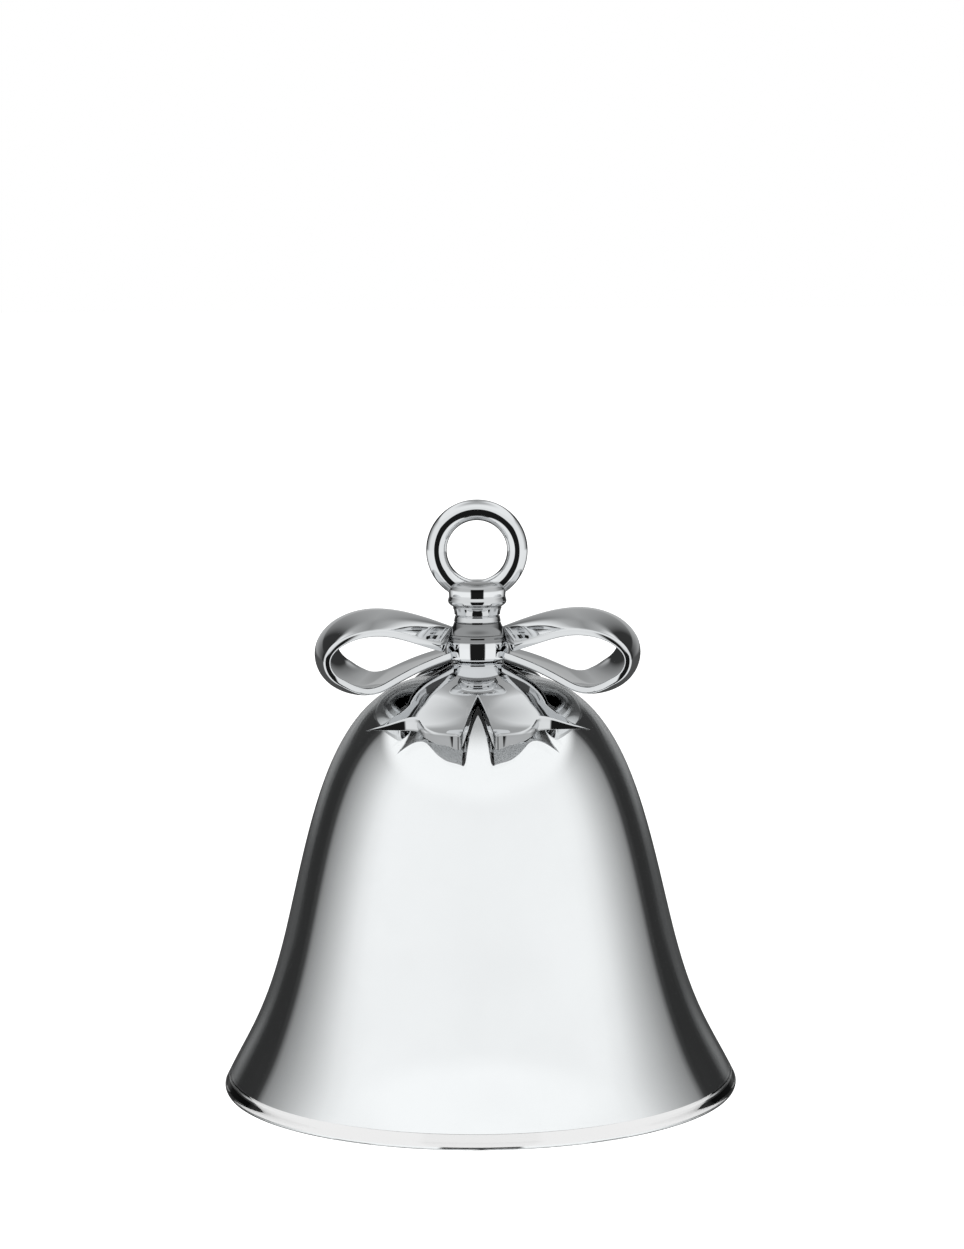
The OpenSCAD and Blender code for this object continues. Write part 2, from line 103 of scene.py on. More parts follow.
class Finishes(bpy.types.PropertyGroup):
    """Colours and gloss of the finishes"""
    chrome: colour("Chrome", "Colour of the cast and polished chrome", (0.86, 0.87, 0.88))
    silver: colour("Silvering", "Colour of the mirror layer inside the bell", (0.93, 0.94, 0.945))
    glass: colour("Glass", "Colour of the clear wall", (1.0, 1.0, 1.0))
    rubber: colour("Seal", "Colour of the soft seals", (0.035, 0.036, 0.038))
    steel: colour("Steel", "Colour of the plain steel parts", (0.62, 0.63, 0.65))
    brass: colour("Brass", "Colour of the brass nut and swivel", (0.80, 0.62, 0.30))
    polish: share("Polish", "Roughness of the polished chrome", 0.03)


# ---- shaders ----

class Link:
    """A socket of a node tree that can stand in a Python expression."""

    def __init__(self, shader, socket):
        self.shader = shader
        self.socket = socket

    def output(self, name):
        return Link(self.shader, self.socket.node.outputs[name])

    def __add__(self, other):
        return self.shader.maths("ADD", self, other)

    def __radd__(self, other):
        return self.shader.maths("ADD", other, self)

    def __sub__(self, other):
        return self.shader.maths("SUBTRACT", self, other)

    def __rsub__(self, other):
        return self.shader.maths("SUBTRACT", other, self)

    def __mul__(self, other):
        return self.shader.maths("MULTIPLY", self, other)

    def __rmul__(self, other):
        return self.shader.maths("MULTIPLY", other, self)

    def __truediv__(self, other):
        return self.shader.maths("DIVIDE", self, other)

    def __abs__(self):
        return self.shader.maths("ABSOLUTE", self)


class Shader:
    """A node tree that is filled by expressions."""

    def __init__(self, tree):
        self.tree = tree
        tree.nodes.clear()

    def add(self, kind, settings=None, inputs=None, output=0):
        """Adds a node with its settings, then the values or links of its sockets."""
        node = self.tree.nodes.new(kind)
        for name, value in (settings or {}).items():
            if name == "stops":
                stops = node.color_ramp.elements
                while len(stops) < len(value):
                    stops.new(0.5)
                for stop, (place, grey) in zip(stops, sorted(value)):
                    stop.position = place
                    stop.color = (grey, grey, grey, 1)
            elif name == "blend":
                node.color_ramp.interpolation = value
            else:
                setattr(node, name, value)
        for name, value in (inputs or {}).items():
            if isinstance(value, Link):
                self.tree.links.new(value.socket, node.inputs[name])
            else:
                node.inputs[name].default_value = value
        return Link(self, node.outputs[output]) if len(node.outputs) else node

    def maths(self, operation, *values):
        return self.add("ShaderNodeMath", {"operation": operation}, dict(enumerate(values)))

    def blend(self, factor, first, second):
        """Colour that goes from first to second as the factor goes from 0 to 1."""
        return self.add("ShaderNodeMix", {"data_type": "RGBA"},
                        {0: factor, 6: first, 7: second}, output=2)

    def between(self, value, low, high):
        """0 below low, 1 above high and smooth between them."""
        return self.add("ShaderNodeMapRange", {"interpolation_type": "SMOOTHSTEP"},
                        {"Value": value, "From Min": low, "From Max": high})

    def ramp(self, value, stops, blend="LINEAR"):
        return self.add("ShaderNodeValToRGB", {"blend": blend, "stops": stops}, {0: value})


def new_material(name):
    material = bpy.data.materials.new(name)
    material.use_nodes = True
    return material, Shader(material.node_tree)


def surface(shader, **inputs):
    """Principled surface with the given sockets, joined to the output."""
    names = {key.replace("_", " "): value for key, value in inputs.items()}
    bsdf = shader.add("ShaderNodeBsdfPrincipled", None, names)
    shader.add("ShaderNodeOutputMaterial", None, {"Surface": bsdf})
    return bsdf


def rgba(values):
    return (values[0], values[1], values[2], 1.0)


def polished_metal(name, tint, roughness, swell=0.02, hairs=0.25, painted_shade_bands=()):
    """Cast metal with a hand polish: slow swells, faint haze and fine wiping marks.

    Each band of painted shade is a lower height, an upper height (in mm) and a share: there the
    metal is painted near-black, in place of the dark reflections it would show.
    """
    material, shader = new_material(name)
    place = shader.add("ShaderNodeTexCoord", None, None, output="Object")
    haze = shader.add("ShaderNodeTexNoise", None,
                      {"Vector": place, "Scale": 160.0, "Detail": 4.0, "Roughness": 0.6})
    slow = shader.add("ShaderNodeTexNoise", None,
                      {"Vector": place, "Scale": 55.0, "Detail": 1.0})
    stretched = shader.add("ShaderNodeMapping", None,
                           {"Vector": place, "Scale": (2400.0, 2400.0, 160.0),
                            "Rotation": (0.3, 0.5, 0.2)})
    marks = shader.add("ShaderNodeTexNoise", None,
                       {"Vector": stretched, "Scale": 1.0, "Detail": 2.0})
    wiped = shader.between(marks, 0.62, 0.78)
    rough = roughness + 0.025 * shader.between(haze, 0.45, 0.75) + hairs * 0.12 * wiped
    stain = shader.between(haze, 0.35, 0.8)
    dark = tuple(0.955 * v for v in tint)
    base = shader.blend(stain, rgba(tint), rgba(dark))
    # Painted shade: between the given heights the metal is painted near-black, with edges wobbled
    # by the slow noise, standing in for the dark reflections there.
    if painted_shade_bands:
        parts = shader.add("ShaderNodeSeparateXYZ", None, {"Vector": place})
        height = parts.output("Z") * 1000.0 + 0.5 * (slow - 0.5)
        shade_amount = 0.0
        for low, high, part in painted_shade_bands:
            band = (shader.between(height, low - 0.15, low + 0.15)
                    * (1.0 - shader.between(height, high - 0.15, high + 0.15)))
            shade_amount = shade_amount + part * band
        base = shader.blend(shade_amount, base, rgba(tuple(0.05 * v for v in tint)))
    bump = shader.add("ShaderNodeBump", None,
                      {"Height": slow, "Strength": swell, "Distance": 0.0004})
    surface(shader, Base_Color=base, Metallic=1.0, Roughness=rough, Normal=bump)
    return material


def turned_metal(name, tint, roughness):
    """Turned metal: fine rings left by the tool and small dark oxide spots."""
    material, shader = new_material(name)
    place = shader.add("ShaderNodeTexCoord", None, None, output="Object")
    rings = shader.add("ShaderNodeTexWave",
                       {"wave_type": "BANDS", "bands_direction": "Z"},
                       {"Vector": place, "Scale": 900.0, "Distortion": 0.6, "Detail": 2.0},
                       output="Fac")
    spots = shader.add("ShaderNodeTexNoise", None,
                       {"Vector": place, "Scale": 700.0, "Detail": 5.0, "Roughness": 0.65})
    worn = shader.between(spots, 0.5, 0.72)
    dark = tuple(0.72 * v for v in tint)
    base = shader.blend(0.5 * worn, rgba(tint), rgba(dark))
    rough = roughness + 0.10 * rings + 0.16 * worn
    bump = shader.add("ShaderNodeBump", None,
                      {"Height": rings, "Strength": 0.12, "Distance": 0.00005})
    surface(shader, Base_Color=base, Metallic=1.0, Roughness=rough, Normal=bump)
    return material


def silvering(name, tint):
    """Mirror layer deposited on the inside of the wall, with a very slight unevenness."""
    material, shader = new_material(name)
    place = shader.add("ShaderNodeTexCoord", None, None, output="Object")
    cloud = shader.add("ShaderNodeTexNoise", None,
                       {"Vector": place, "Scale": 60.0, "Detail": 3.0})
    pits = shader.add("ShaderNodeTexNoise", None,
                      {"Vector": place, "Scale": 2600.0, "Detail": 1.0})
    spots = shader.between(pits, 0.79, 0.86)
    dark = tuple(0.97 * v for v in tint)
    base = shader.blend(shader.between(cloud, 0.3, 0.8), rgba(tint), rgba(dark))
    rough = 0.012 + 0.012 * cloud + 0.12 * spots
    surface(shader, Base_Color=base, Metallic=1.0, Roughness=rough)
    return material


def clear_wall(name, tint):
    """Clear moulded wall: smooth, with a faint slow waviness bumped into its surface."""
    material, shader = new_material(name)
    place = shader.add("ShaderNodeTexCoord", None, None, output="Object")
    slow = shader.add("ShaderNodeTexNoise", None,
                      {"Vector": place, "Scale": 26.0, "Detail": 1.0})
    bump = shader.add("ShaderNodeBump", None,
                      {"Height": slow, "Strength": 0.012, "Distance": 0.0004})
    surface(shader, Base_Color=rgba(tint), Metallic=0.0, Roughness=0.0, IOR=1.49,
            Transmission_Weight=1.0, Normal=bump)
    return material


def rubber(name, tint):
    """Soft black seal with a fine moulded grain and a little dust."""
    material, shader = new_material(name)
    place = shader.add("ShaderNodeTexCoord", None, None, output="Object")
    grain = shader.add("ShaderNodeTexNoise", None,
                       {"Vector": place, "Scale": 4200.0, "Detail": 3.0})
    dust = shader.add("ShaderNodeTexNoise", None,
                      {"Vector": place, "Scale": 900.0, "Detail": 5.0})
    light = tuple(min(1.0, v + 0.06) for v in tint)
    base = shader.blend(shader.between(dust, 0.5, 0.75), rgba(tint), rgba(light))
    bump = shader.add("ShaderNodeBump", None,
                      {"Height": grain, "Strength": 0.35, "Distance": 0.00006})
    surface(shader, Base_Color=base, Roughness=0.55 + 0.25 * grain, Normal=bump)
    return material


def floor_paper(name):
    """Matt white studio paper with a barely visible tooth."""
    material, shader = new_material(name)
    place = shader.add("ShaderNodeTexCoord", None, None, output="Object")
    tooth = shader.add("ShaderNodeTexNoise", None,
                       {"Vector": place, "Scale": 900.0, "Detail": 4.0})
    base = shader.blend(tooth, (0.955, 0.955, 0.955, 1), (0.975, 0.975, 0.975, 1))
    surface(shader, Base_Color=base, Roughness=0.9, Specular_IOR_Level=0.0)
    return material


FINISHES = {}


def finish_pieces():
    """Makes each finish once, from the scene's colours."""
    if not FINISHES:
        look = bpy.context.scene.ornament_finishes
        # Painted shade: all the chromes but the ball's are copies of one chrome, with height bands
        # painted dark where the metal would mirror dark. These fall on the ring's foot and,
        # faintly, the ring (cast_chrome), the knot and neck (neck_chrome), the loops (bow_chrome)
        # and the tails, darkest at their ends (tail_chrome).
        FINISHES.update(
            cast_chrome=polished_metal("cast_chrome", tuple(look.chrome), look.polish,
                                       painted_shade_bands=((84.9, 86.3, 0.45), (86.3, 100.5, 0.08))),
            neck_chrome=polished_metal("neck_chrome", tuple(look.chrome), look.polish,
                                       painted_shade_bands=((76.3, 79.6, 0.72), (79.6, 84.3, 0.2))),
            bow_chrome=polished_metal("bow_chrome", tuple(look.chrome), look.polish,
                                      painted_shade_bands=((60.0, 84.0, 0.12),)),
            tail_chrome=polished_metal("tail_chrome", tuple(look.chrome), look.polish,
                                       painted_shade_bands=((59.0, 63.9, 0.55), (63.9, 75.0, 0.18))),
            ball_chrome=polished_metal("ball_chrome", tuple(look.chrome), look.polish + 0.01),
            clear_glass=clear_wall("clear_glass", tuple(look.glass)),
            silvering=silvering("silvering", tuple(look.silver)),
            soft_seal=rubber("soft_seal", tuple(look.rubber)),
            steel=turned_metal("steel", tuple(look.steel), 0.18),
            brass=turned_metal("brass", tuple(look.brass), 0.2))
    return FINISHES


def ready(piece, node, body, finish, angle=35, look=None):
    """Gives a piece its finish, lets it ride on its body and stands it for its CAD node."""
    piece.data.materials.clear()
    piece.data.materials.append(finish_pieces()[look or finish])
    deselect()
    select(piece)
    bpy.ops.object.shade_smooth_by_angle(angle=math.radians(angle))
    piece.visible_diffuse = False
    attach(piece, body)
    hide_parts(node)
    return piece


# ---- curves, in millimetres ----

def mix(a, b, t):
    return a + (b - a) * t


def ease(t):
    """Share t, slowed at both ends."""
    return t * t * (3 - 2 * t)


def cubic(p, t):
    """Point on a cubic curve through p[0] and p[3]."""
    s = 1 - t
    return tuple(s ** 3 * p[0][i] + 3 * s * s * t * p[1][i] + 3 * s * t * t * p[2][i]
                 + t ** 3 * p[3][i] for i in (0, 1))


def cubic_side(p, t):
    """Unit vector to the right of the curve's direction."""
    s = 1 - t
    d = [s * s * (p[1][i] - p[0][i]) + 2 * s * t * (p[2][i] - p[1][i])
         + t * t * (p[3][i] - p[2][i]) for i in (0, 1)]
    size = math.hypot(*d)
    return d[1] / size, -d[0] / size


def arc(centre, radius, start, end, steps):
    turns = [math.radians(mix(start, end, i / steps)) for i in range(steps + 1)]
    return [(centre[0] + radius * math.cos(a), centre[1] + radius * math.sin(a)) for a in turns]


# ---- modelling ----

def deselect():
    if bpy.context.object and bpy.context.object.mode != "OBJECT":
        bpy.ops.object.mode_set(mode="OBJECT")
    bpy.ops.object.select_all(action="DESELECT")


def select(*objects):
    for piece in objects:
        piece.select_set(True)
    bpy.context.view_layer.objects.active = objects[0]


def clean(piece):
    """Merges doubled points and turns every face outwards."""
    deselect()
    select(piece)
    bpy.ops.object.mode_set(mode="EDIT")
    bpy.ops.mesh.select_all(action="SELECT")
    bpy.ops.mesh.remove_doubles(threshold=2e-6)
    bpy.ops.mesh.normals_make_consistent(inside=False)
    bpy.ops.object.mode_set(mode="OBJECT")
    return piece


def apply_modifier(piece, kind, **settings):
    """Adds a modifier, sets it and applies it."""
    deselect()
    select(piece)
    bpy.ops.object.modifier_add(type=kind)
    modifier = piece.modifiers[-1]
    for name, value in settings.items():
        setattr(modifier, name, value)
    bpy.ops.object.modifier_apply(modifier=modifier.name)
    return piece


def round_corners(piece, width=0.12, segments=3, angle=30):
    """Breaks the sharp edges, as a tumbled or polished part has them."""
    return apply_modifier(piece, "BEVEL", width=width * MM, segments=segments,
                          limit_method="ANGLE", angle_limit=math.radians(angle))


def draw(name, points, closed):
    """Draws an outline of (radius, height) points in the XZ plane and makes it a mesh."""
    deselect()
    bpy.ops.curve.primitive_bezier_curve_add(location=(0, 0, 0))
    piece = bpy.context.object
    piece.name = piece.data.name = name
    spline = piece.data.splines[0]
    spline.bezier_points.add(len(points) - 2)
    for point, (r, z) in zip(spline.bezier_points, points):
        point.handle_left_type = point.handle_right_type = "VECTOR"
        point.co = (r * MM, 0, z * MM)
    spline.use_cyclic_u = closed
    piece.data.resolution_u = 1
    bpy.ops.object.convert(target="MESH")
    return bpy.context.object


def turn(name, points, closed=False, steps=TURN_STEPS):
    """Turns an outline about the Z axis, as on a lathe."""
    piece = draw(name, points, closed)
    bpy.ops.object.mode_set(mode="EDIT")
    bpy.ops.mesh.select_all(action="SELECT")
    bpy.ops.mesh.spin(steps=steps, angle=2 * math.pi, center=(0, 0, 0), axis=(0, 0, 1))
    bpy.ops.object.mode_set(mode="OBJECT")
    return clean(piece)


def wrap(name, rows, capped=True):
    """Lays a grid over closed rows of points: each row lies on one section of the piece."""
    across, along = len(rows[0]), len(rows)
    deselect()
    bpy.ops.mesh.primitive_grid_add(x_subdivisions=across, y_subdivisions=along - 1,
                                    location=(0, 0, 0))
    piece = bpy.context.object
    piece.name = piece.data.name = name
    width = across + 1
    for vertex in piece.data.vertices:
        row, column = divmod(vertex.index, width)
        vertex.co = Vector(rows[row][column % across]) * MM
    clean(piece)
    if capped:
        bpy.ops.object.mode_set(mode="EDIT")
        bpy.ops.mesh.select_all(action="DESELECT")
        bpy.ops.mesh.select_non_manifold(extend=False, use_wire=False, use_boundary=True,
                                         use_multi_face=False, use_non_contiguous=False,
                                         use_verts=False)
        bpy.ops.mesh.edge_face_add()
        bpy.ops.mesh.select_all(action="SELECT")
        bpy.ops.mesh.normals_make_consistent(inside=False)
        bpy.ops.object.mode_set(mode="OBJECT")
    return piece


def join(*pieces):
    deselect()
    select(*pieces)
    bpy.ops.object.join()
    return pieces[0]


# ---- bell ----

def wall_curves(s):
    """The bell's outer wall: the flare, then the shoulder."""
    rim = (s.rim_radius / MM, s.lip_height / MM)
    waist = (s.waist_radius / MM, s.waist_height / MM)
    crown = (s.crown_land / MM, s.height / MM)
    low, high = waist[1] - rim[1], crown[1] - waist[1]
    flare = [rim, (rim[0] - 0.29 * low * 0.49, rim[1] + 0.29 * low),
             (waist[0] + 0.57 * low * 0.24, waist[1] - 0.57 * low), waist]
    shoulder = [waist, (waist[0] - 0.47 * high * 0.24, waist[1] + 0.47 * high),
                (crown[0] + 0.7 * (waist[0] - crown[0]), crown[1]), crown]
    return flare, shoulder


def wall_line(s, depth, steps=56, low=None):
    """Outline of the wall from the rim to the crown, moved inwards by depth."""
    line = []
    for number, curve in enumerate(wall_curves(s)):
        for i in range(1 if number else 0, steps + 1):
            (r, z), (nr, nz) = cubic(curve, i / steps), cubic_side(curve, i / steps)
            line.append((r - depth * nr, z - depth * nz))
    return [p for p in line if low is None or p[1] > low]


class ORNAMENT_OT_bell(bpy.types.Operator):
    """Turns the clear bell with its rounded lip"""
    bl_idname = "ornament.bell"
    bl_label = "Clear Bell"

    def execute(self, context):
        s = context.scene.ornament_bell
        flare = wall_curves(s)[0]
        normal = cubic_side(flare, 0)
        lip_r = s.lip_height / MM / (1 + normal[1])
        lip = (flare[0][0] - lip_r * normal[0], flare[0][1] - lip_r * normal[1])
        inner = wall_line(s, s.glass / MM, low=s.lining_low / MM - 0.02)
        inner_x = inner[0][0]
        hole = s.hole_radius / MM
        top = s.height / MM
        outline = (arc((inner_x + 0.6, 0.6), 0.6, 180, 270, 10)
                   + arc(lip, lip_r, -90, math.degrees(math.atan2(normal[1], normal[0])), 18)
                   + wall_line(s, 0)[1:]
                   + [(hole + 0.15, top), (hole, top - 0.15),
                      (hole, top - s.glass / MM)]
                   + inner[::-1])
        ready(turn("bell_wall", outline, closed=True), "clear_bell", "bell", "clear_glass", 40)
        return {"FINISHED"}


class ORNAMENT_OT_lining(bpy.types.Operator):
    """Turns the silvered lining, bedded in the clear wall"""
    bl_idname = "ornament.lining"
    bl_label = "Silvered Lining"

    def execute(self, context):
        s = context.scene.ornament_bell
        low = s.lining_low / MM - 0.02
        bedded = s.glass / MM - 0.05
        back = (s.glass + s.lining) / MM
        outer = wall_line(s, bedded, low=low)
        inner = wall_line(s, back, low=low)
        hole = s.hole_radius / MM
        top = s.height / MM
        outline = (outer + [(hole, top - bedded), (hole, top - back)] + inner[::-1])
        ready(turn("silver_lining", outline, closed=True), "mirror_lining", "bell",
              "silvering", 40)
        return {"FINISHED"}


# ---- crown stack ----

def washer(name, outer, inner, low, height, edge):
    outline = [(inner, low), (outer, low), (outer, low + height), (inner, low + height)]
    piece = turn(name, outline, closed=True, steps=96)
    return round_corners(piece, edge)


class ORNAMENT_OT_crown_stack(bpy.types.Operator):
    """Makes the parts that clamp the bell's crown: seals, boss, washer, nut and stud"""
    bl_idname = "ornament.crown_stack"
    bl_label = "Crown Stack"

    def execute(self, context):
        for node, finish, edge in (("crown_gasket", "soft_seal", 0.2),
                                   ("inner_seal", "soft_seal", 0.2),
                                   ("inner_washer", "steel", 0.12)):
            low, high = (Vector(c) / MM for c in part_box(node))
            piece = washer(node + "_ring", high.x, 1.55, low.z, high.z - low.z, edge)
            ready(piece, node, "bell", finish)
        self.boss()
        self.nut()
        self.stud()
        return {"FINISHED"}

    def boss(self):
        low, high = (Vector(c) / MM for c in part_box("cap_boss"))
        height = high.z - low.z
        outline = [(1.55, low.z), (high.x - 0.3, low.z), (high.x, low.z + 0.3),
                   (high.x, low.z + 0.42 * height), (high.x - 0.22, low.z + 0.5 * height),
                   (high.x, low.z + 0.58 * height), (high.x, high.z), (1.55, high.z)]
        piece = turn("boss", outline, closed=True)
        bpy.ops.object.mode_set(mode="EDIT")
        for side in (-1, 1):
            bpy.ops.mesh.select_all(action="SELECT")
            bpy.ops.mesh.bisect(plane_co=(0, side * high.y * MM, 0), plane_no=(0, side, 0),
                                use_fill=True, clear_outer=True)
        bpy.ops.object.mode_set(mode="OBJECT")
        round_corners(piece, 0.08, 2)
        ready(piece, "cap_boss", "bell", "cast_chrome")

    def nut(self):
        low, high = (Vector(c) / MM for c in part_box("crown_nut"))
        flat = high.y
        steps = 96

        def across(turn_angle):
            a = math.degrees(turn_angle) % 60
            return flat / math.cos(math.radians(a - 30))

        heights = [(0.0, 0.93), (0.06, 0.98), (0.16, 1.05), (0.3, 1.16), (0.7, 1.16),
                   (0.84, 1.05), (0.94, 0.98), (1.0, 0.93)]
        rows = []
        for i in range(steps):
            a = 2 * math.pi * i / steps
            row = [(1.7, low.z)]
            for share_up, limit in heights:
                row.append((min(across(a), limit * flat), mix(low.z, high.z, share_up)))
            row += [(1.7, high.z), (1.55, high.z - 0.2), (1.55, low.z + 0.2)]
            rows.append([(r * math.cos(a), r * math.sin(a), z) for r, z in row])
        piece = wrap("hex_nut", rows + [rows[0]], capped=False)
        ready(round_corners(piece, 0.05, 2, 40), "crown_nut", "bell", "brass", 30)

    def stud(self):
        low, high = (Vector(c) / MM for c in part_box("centre_stud"))
        radius, pitch, depth, sides = high.x, 0.5, 0.24, 40
        count = int((high.z - low.z) / pitch * 6)
        rows = [[(0.01 * math.cos(a), 0.01 * math.sin(a), low.z)
                 for a in (2 * math.pi * k / sides for k in range(sides))]]
        for i in range(count + 1):
            z = mix(low.z, high.z, i / count)
            end = min(1.0, (z - low.z) / 0.5 + 0.35, (high.z - z) / 0.5 + 0.35)
            row = []
            for k in range(sides):
                a = 2 * math.pi * k / sides
                phase = (z / pitch - k / sides) % 1.0
                r = (radius - depth * abs(2 * phase - 1) ** 0.9) * mix(0.86, 1, end)
                row.append((r * math.cos(a), r * math.sin(a), z))
            rows.append(row)
        rows.append([(0.01 * math.cos(a), 0.01 * math.sin(a), high.z)
                     for a in (2 * math.pi * k / sides for k in range(sides))])
        ready(wrap("threaded_stud", rows), "centre_stud", "bell", "steel", 60)


# ---- knot, neck and ring ----

def smooth_line(points, steps=10):
    """Flowing line through points, for outlines that are polished all over."""
    line = []
    for i in range(len(points) - 1):
        before = points[max(i - 1, 0)]
        after = points[min(i + 2, len(points) - 1)]
        a, b = points[i], points[i + 1]
        handles = [a, tuple(a[k] + (b[k] - before[k]) / 6 for k in (0, 1)),
                   tuple(b[k] - (after[k] - a[k]) / 6 for k in (0, 1)), b]
        line += [cubic(handles, s / steps) for s in range(steps)]
    return line + [points[-1]]


class ORNAMENT_OT_knot(bpy.types.Operator):
    """Turns the knot that the ribbon passes through"""
    bl_idname = "ornament.knot"
    bl_label = "Ribbon Knot"

    def execute(self, context):
        low, high = (Vector(c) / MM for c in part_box("ribbon_knot"))
        z, top = low.z, high.z
        belly = smooth_line([(4.95, z), (5.3, z + 0.14), (5.46, z + 0.5), (5.52, z + 1.2),
                             (5.54, z + 2.0), (5.51, z + 2.8), (5.42, z + 3.35),
                             (5.24, z + 3.66), (5.26, z + 3.86), (5.2, z + 4.1),
                             (5.0, top)], 8)
        outline = [(1.55, z), (4.7, z)] + belly + [(1.55, top)]
        ready(turn("knot", outline, closed=True), "ribbon_knot", "bell", "cast_chrome", 50,
              "neck_chrome")
        return {"FINISHED"}


class ORNAMENT_OT_neck(bpy.types.Operator):
    """Turns the grooved neck between the knot and the ring"""
    bl_idname = "ornament.neck"
    bl_label = "Turned Neck"

    def execute(self, context):
        low, high = (Vector(c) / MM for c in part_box("neck_collar"))
        z = low.z
        flare = smooth_line([(5.1, z), (4.85, z + 0.35), (4.42, z + 0.85), (4.1, z + 1.35),
                             (3.94, z + 1.8)], 8)
        low_groove = smooth_line([(3.94, z + 1.84), (3.76, z + 1.92), (3.76, z + 2.0),
                                  (3.92, z + 2.08)], 6)
        waist = smooth_line([(3.92, z + 2.12), (3.86, z + 2.45), (3.78, z + 2.85)], 6)
        mid_groove = smooth_line([(3.78, z + 2.9), (3.62, z + 3.0), (3.64, z + 3.12),
                                  (3.82, z + 3.22)], 6)
        upper = smooth_line([(3.84, z + 3.26), (3.86, z + 3.55), (3.92, z + 3.9),
                             (4.08, z + 4.3)], 6)
        top_groove = smooth_line([(4.1, z + 4.34), (4.02, z + 4.44), (4.12, z + 4.56)], 6)
        bead = smooth_line([(4.16, z + 4.6), (4.5, z + 4.82), (4.78, z + 5.1),
                            (4.9, z + 5.45), (4.86, z + 5.85), (4.74, z + 6.2),
                            (4.74, z + 6.5)], 8)
        outline = ([(1.55, z)] + flare + low_groove + waist + mid_groove + upper + top_groove
                   + bead + [(1.55, z + 6.5)])
        ready(turn("neck", outline, closed=True), "neck_collar", "bell", "cast_chrome", 60,
              "neck_chrome")
        return {"FINISHED"}


class ORNAMENT_OT_ring(bpy.types.Operator):
    """Turns the hanging ring's wire and its foot"""
    bl_idname = "ornament.ring"
    bl_label = "Hanging Ring"

    def execute(self, context):
        low, high = (Vector(c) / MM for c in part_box("hanging_ring"))
        # Radius of the wire, and radius of the land worn inside the ring
        wire, land = 1.75, 5.04
        centre = high.z - high.x
        middle = high.x - wire
        edge = math.degrees(math.acos((land - middle) / wire))
        ring = turn("ring", arc((middle, 0), wire, -edge, edge, 60), closed=True)
        ring.rotation_euler.x = math.pi / 2
        ring.location.z = centre * MM
        bpy.ops.object.transform_apply(location=True, rotation=True, scale=True)
        z = low.z
        side = smooth_line([(4.74, z), (4.77, z + 0.5), (4.78, z + 1.1), (4.66, z + 1.55),
                            (4.2, z + 1.98), (3.4, z + 2.2), (2.4, z + 2.28)], 8)
        foot = turn("ring_foot", [(0, z)] + side + [(0, z + 2.26)])
        ready(join(ring, foot), "hanging_ring", "bell", "cast_chrome", 50)
        return {"FINISHED"}


# ---- bow ----

# Crown of the ribbon at its upper and at its lower root, in mm
TOP_CROWN, LOW_CROWN = 3.0, 0.3
# Shares of the ribbon's length between which its crown flattens towards the lower root
FLAT_FROM, FLAT_TO = 0.66, 0.86


def crest_curves(s):
    """The loop's crest line in the XZ plane, from its upper root round to its lower root."""
    reach = s.reach / MM
    low, top = 67.58, 81.58
    mid = mix(low, top, 0.49)
    top_x, low_x = 0.62 * reach, 0.71 * reach
    top_root, low_root = (4.2, 78.6), (4.2, 73.35)
    return [
        [top_root, (4.2 + 0.16 * reach, 80.2), (0.46 * reach, top), (top_x, top)],
        [(top_x, top), (mix(top_x, reach, 0.55), top), (reach, mix(mid, top, 0.55)),
         (reach, mid)],
        [(reach, mid), (reach, mix(mid, low, 0.55)), (mix(low_x, reach, 0.55), low),
         (low_x, low)],
        [(low_x, low), (low_x - 3.8, low), (13.0, 70.95), low_root]]


def ribbon_section(s, u, curves):
    """Closed section of the ribbon at share u of its length."""
    part = min(3, int(4 * u))
    t = 4 * u - part
    (x, z), (nx, nz) = cubic(curves[part], t), cubic_side(curves[part], t)
    root, full = s.root_width / MM, s.ribbon_width / MM
    half = (root + (full - root) * max(0.0, math.sin(math.pi * u)) ** 0.75) / 2
    crown = s.crown / MM
    if u < 0.25:
        crown = mix(TOP_CROWN, crown, ease(4 * u))
    else:
        flat = min(1.0, max(0.0, (u - FLAT_FROM) / (FLAT_TO - FLAT_FROM)))
        crown = mix(crown, LOW_CROWN, ease(flat))
    thick = s.ribbon / MM
    soft = 0.34
    outline = []
    for i in range(25):
        outline.append((mix(-half + soft, half - soft, i / 24), 0.0))
    outline += [(half - soft + soft * math.sin(a), soft - soft * math.cos(a))
                for a in (math.radians(v) for v in (15, 30, 45, 60, 75, 90))]
    outline += [(half - soft + soft * math.sin(a), thick - soft - soft * math.cos(a))
                for a in (math.radians(v) for v in (90, 105, 120, 135, 150, 165))]
    for i in range(25):
        outline.append((mix(half - soft, -half + soft, i / 24), thick))
    outline += [(-half + soft - soft * math.sin(a), thick - soft - soft * math.cos(a))
                for a in (math.radians(v) for v in (165, 150, 135, 120, 105, 90))]
    outline += [(-half + soft - soft * math.sin(a), soft - soft * math.cos(a))
                for a in (math.radians(v) for v in (90, 75, 60, 45, 30, 15))]
    points = []
    for across, depth in outline:
        lift = depth + crown * (across / half) ** 2
        points.append((x + lift * nx, across, z + lift * nz))
    return points


class ORNAMENT_OT_loops(bpy.types.Operator):
    """Makes the bow's two loops from sections of the ribbon"""
    bl_idname = "ornament.loops"
    bl_label = "Bow Loops"

    def execute(self, context):
        s = context.scene.ornament_bow
        curves = crest_curves(s)
        steps = 168
        rows = [ribbon_section(s, i / steps, curves) for i in range(steps + 1)]
        for node, side in (("bow_loop_right", 1), ("bow_loop_left", -1)):
            turned = [[(side * max(x, 3.9), y, z) for x, y, z in row] for row in rows]
            ready(wrap(node.replace("bow_", "ribbon_"), turned), node, "bell",
                  "cast_chrome", 40, "bow_chrome")
        return {"FINISHED"}


